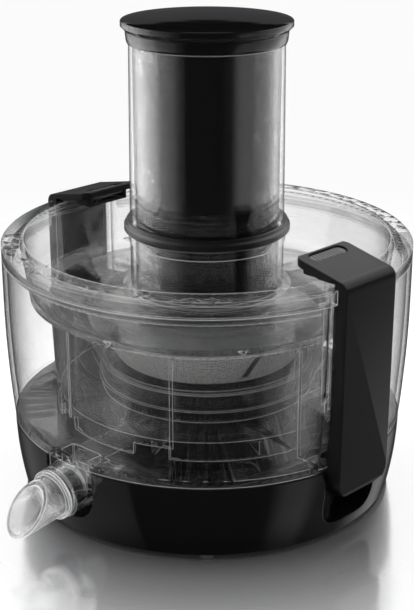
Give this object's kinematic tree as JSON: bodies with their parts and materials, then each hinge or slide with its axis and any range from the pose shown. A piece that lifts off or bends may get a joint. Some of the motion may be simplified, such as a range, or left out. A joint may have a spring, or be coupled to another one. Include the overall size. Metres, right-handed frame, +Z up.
{
  "type": "centrifugal juicer",
  "caption": "Compact centrifugal juicer: low motor base, clear bowl and lid, feed tube with pusher, spinning sieve, pulp ring, spout and two swing clamps.",
  "frame": {"origin": "on the table under the drive shaft, level with the undersides of the feet", "axes": "+Z up along the drive shaft; the front, seen with the spout at left and the first clamp at right, is -Y; +X to the right"},
  "size_m": [0.206, 0.2063, 0.24],
  "materials": {
    "gloss_black_plastic": "polished moulded ABS",
    "satin_black_plastic": "satin moulded ABS",
    "matte_black_plastic": "fine-grained moulded nylon",
    "clear_plastic": "clear injection-moulded SAN or polycarbonate",
    "button_grey": "ribbed moulded grey ABS",
    "smoked_rim": "dark moulded nylon ring",
    "rubber": "moulded rubber",
    "clear_silicone": "translucent silicone",
    "steel": "ground steel",
    "stainless_mesh": "etched stainless sheet",
    "magnet": "sintered magnet",
    "copper": "enamelled copper wire",
    "cast_aluminium": "die-cast aluminium",
    "board_green": "glass-epoxy circuit board",
    "plated_brass": "nickel-plated brass"
  },
  "bodies": {
    "base": {"base_housing": "gloss_black_plastic", "base_plate": "satin_black_plastic", "rubber_feet": "rubber", "plate_screws": "steel", "motor_mount": "cast_aluminium", "mount_screws": "steel", "stator_core": "steel", "stator_windings": "copper", "lower_bearing": "steel", "upper_bearing": "steel", "shaft_seal": "rubber", "control_board": "board_green", "board_parts": "matte_black_plastic", "interlock_switches": "matte_black_plastic", "power_inlet": "satin_black_plastic", "inlet_pins": "plated_brass", "mains_leads": "copper", "switch_bezel": "satin_black_plastic", "front_hinge_bracket": "matte_black_plastic", "rear_hinge_bracket": "matte_black_plastic", "front_hinge_pin": "steel", "rear_hinge_pin": "steel", "bowl": "clear_plastic", "bowl_floor": "clear_plastic", "bowl_outlet": "clear_plastic", "lid_seal": "clear_silicone", "pulp_container": "clear_plastic", "pulp_floor_ring": "clear_plastic", "pulp_inner_wall": "clear_plastic", "juice_collector": "clear_plastic", "lid": "clear_plastic", "lid_floor": "clear_plastic", "feed_tube": "clear_plastic", "tube_collar": "satin_black_plastic", "spout_seal": "clear_silicone"},
    "drive": {"motor_shaft": "steel", "rotor_bell": "steel", "rotor_magnets": "magnet", "cooling_fan": "matte_black_plastic", "drive_coupling": "matte_black_plastic"},
    "sieve": {"sieve_hub": "gloss_black_plastic", "coupling_insert": "matte_black_plastic", "grater_disc": "stainless_mesh", "sieve_mesh": "stainless_mesh", "sieve_rim": "smoked_rim"},
    "pusher": {"pusher_body": "gloss_black_plastic", "pusher_cap": "gloss_black_plastic", "pusher_foot": "gloss_black_plastic"},
    "front_clamp": {"front_clamp_arm": "satin_black_plastic", "front_clamp_liner": "matte_black_plastic", "front_clamp_hook": "matte_black_plastic", "front_button_spring": "steel"},
    "rear_clamp": {"rear_clamp_arm": "satin_black_plastic", "rear_clamp_liner": "matte_black_plastic", "rear_clamp_hook": "matte_black_plastic", "rear_button_spring": "steel"},
    "front_button": {"front_clamp_button": "button_grey"},
    "rear_button": {"rear_clamp_button": "button_grey"},
    "rocker": {"switch_rocker": "gloss_black_plastic"},
    "spout": {"juice_spout": "clear_plastic"}
  },
  "joints": [
    {"name": "drive_spin", "type": "hinge", "parent": "base", "child": "drive", "pos_m": [0, 0, 0.04], "axis": [0, 0, 1], "continuous": true},
    {"name": "sieve_spin", "type": "hinge", "parent": "base", "child": "sieve", "pos_m": [0, 0, 0.069], "axis": [0, 0, 1], "continuous": true},
    {"name": "pusher_lift", "type": "slide", "parent": "base", "child": "pusher", "axis": [0, 0, 1], "range_m": [0, 0.16]},
    {"name": "front_clamp_swing", "type": "hinge", "parent": "base", "child": "front_clamp", "pos_m": [0.06435, -0.06435, 0.036], "axis": [0.7071, 0.7071, 0], "range_deg": [0, 55]},
    {"name": "rear_clamp_swing", "type": "hinge", "parent": "base", "child": "rear_clamp", "pos_m": [-0.06435, 0.06435, 0.036], "axis": [-0.7071, -0.7071, 0], "range_deg": [0, 55]},
    {"name": "front_button_press", "type": "slide", "parent": "front_clamp", "child": "front_button", "axis": [-0.1483, 0.1483, -0.9778], "range_m": [0, 0.0015], "stiffness_N_per_m": 300, "springref_m": -0.001, "deforming": ["front_button_spring"]},
    {"name": "rear_button_press", "type": "slide", "parent": "rear_clamp", "child": "rear_button", "axis": [0.1483, -0.1483, -0.9778], "range_m": [0, 0.0015], "stiffness_N_per_m": 300, "springref_m": -0.001, "deforming": ["rear_button_spring"]},
    {"name": "switch_rock", "type": "hinge", "parent": "base", "child": "rocker", "pos_m": [-0.02356, 0.09451, 0.021], "axis": [0.9703, 0.2419, 0], "range_deg": [0, 16]},
    {"name": "spout_pull", "type": "slide", "parent": "base", "child": "spout", "axis": [-0.6666, -0.7403, -0.0872], "range_m": [0, 0.03]}
  ],
  "couplings": [
    {"joint": "sieve_spin", "follows": "drive_spin", "ratio": 1}
  ]
}
